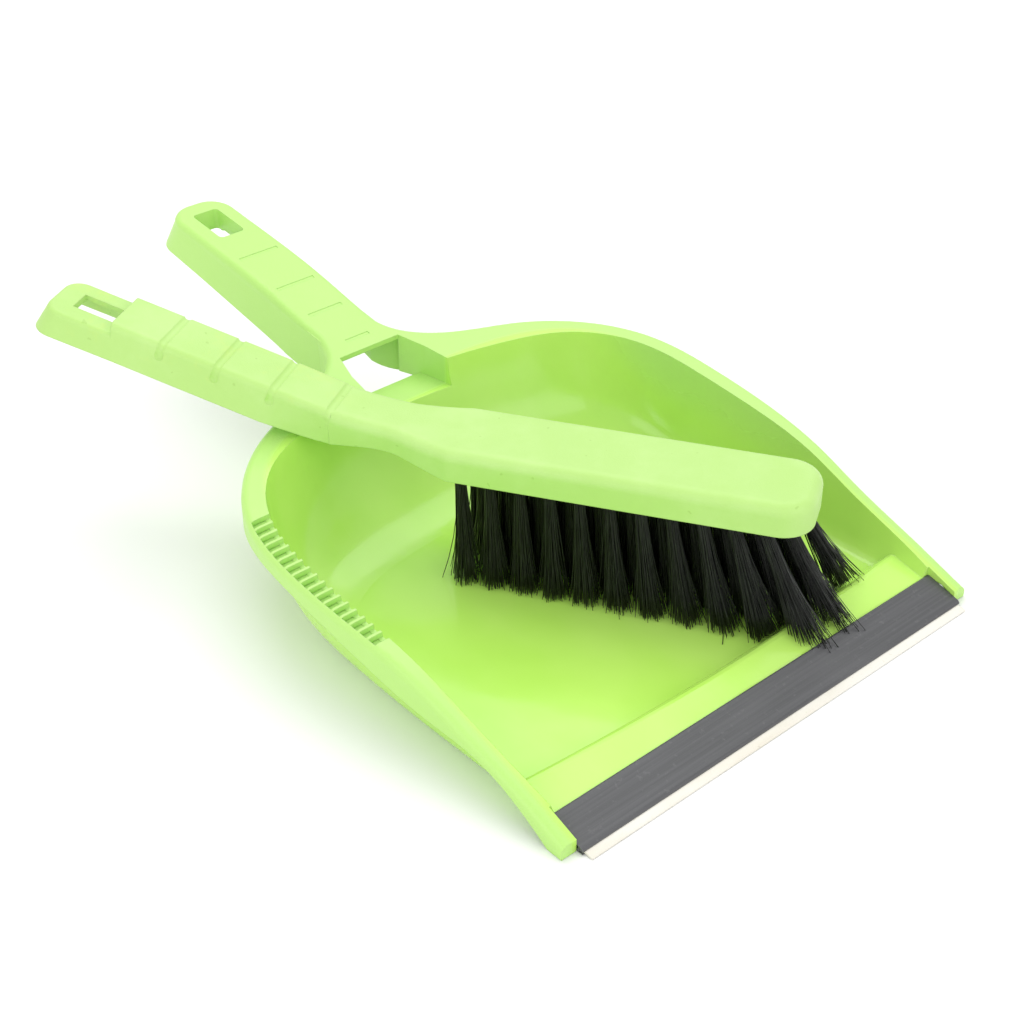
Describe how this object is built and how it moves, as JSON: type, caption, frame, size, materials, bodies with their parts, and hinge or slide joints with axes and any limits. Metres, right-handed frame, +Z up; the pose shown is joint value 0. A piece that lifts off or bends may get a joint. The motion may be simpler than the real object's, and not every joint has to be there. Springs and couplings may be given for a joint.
{
  "type": "dust pan and brush set",
  "caption": "Open-fronted dust pan with a channel handle, comb rim and soft-edged lip strip, and a bench-style hand brush standing on its tufts in the pan.",
  "frame": {"origin": "on the pan's flat underside, on the centre line, 110 mm behind the soft blade's front edge", "axes": "+Z up, +Y from the lip towards the pan's handle, +X to the right when looking from the lip towards the handle"},
  "size_m": [0.2336, 0.3784, 0.0939],
  "materials": {
    "pan_green": "glossy moulded polypropylene",
    "brush_green": "satin moulded polypropylene",
    "strip_grey": "semi-matte extruded carrier strip",
    "blade_cream": "matte soft edge",
    "bristle_black": "black synthetic filament",
    "staple_steel": "flattened wire"
  },
  "bodies": {
    "pan": {"dustpan": "pan_green", "lip_strip": "strip_grey", "lip_blade": "blade_cream"},
    "brush": {"brush_block": "brush_green", "staple_anchors": "staple_steel", "tuft_1_01": "bristle_black", "tuft_1_02": "bristle_black", "tuft_1_03": "bristle_black", "tuft_1_04": "bristle_black", "tuft_1_05": "bristle_black", "tuft_1_06": "bristle_black", "tuft_1_07": "bristle_black", "tuft_1_08": "bristle_black", "tuft_1_09": "bristle_black", "tuft_1_10": "bristle_black", "tuft_1_11": "bristle_black", "tuft_2_01": "bristle_black", "tuft_2_02": "bristle_black", "tuft_2_03": "bristle_black", "tuft_2_04": "bristle_black", "tuft_2_05": "bristle_black", "tuft_2_06": "bristle_black", "tuft_2_07": "bristle_black", "tuft_2_08": "bristle_black", "tuft_2_09": "bristle_black", "tuft_2_10": "bristle_black", "tuft_2_11": "bristle_black", "tuft_3_01": "bristle_black", "tuft_3_02": "bristle_black", "tuft_3_03": "bristle_black", "tuft_3_04": "bristle_black", "tuft_3_05": "bristle_black", "tuft_3_06": "bristle_black", "tuft_3_07": "bristle_black", "tuft_3_08": "bristle_black", "tuft_3_09": "bristle_black", "tuft_3_10": "bristle_black", "tuft_3_11": "bristle_black", "tuft_4_01": "bristle_black", "tuft_4_02": "bristle_black", "tuft_4_03": "bristle_black", "tuft_4_04": "bristle_black", "tuft_4_05": "bristle_black", "tuft_4_06": "bristle_black", "tuft_4_07": "bristle_black", "tuft_4_08": "bristle_black", "tuft_4_09": "bristle_black", "tuft_4_10": "bristle_black", "tuft_4_11": "bristle_black"}
  },
  "joints": [
    {"name": "brush_lift", "type": "slide", "parent": "pan", "child": "brush", "axis": [0, 0, 1], "range_m": [0, 0.2]}
  ]
}
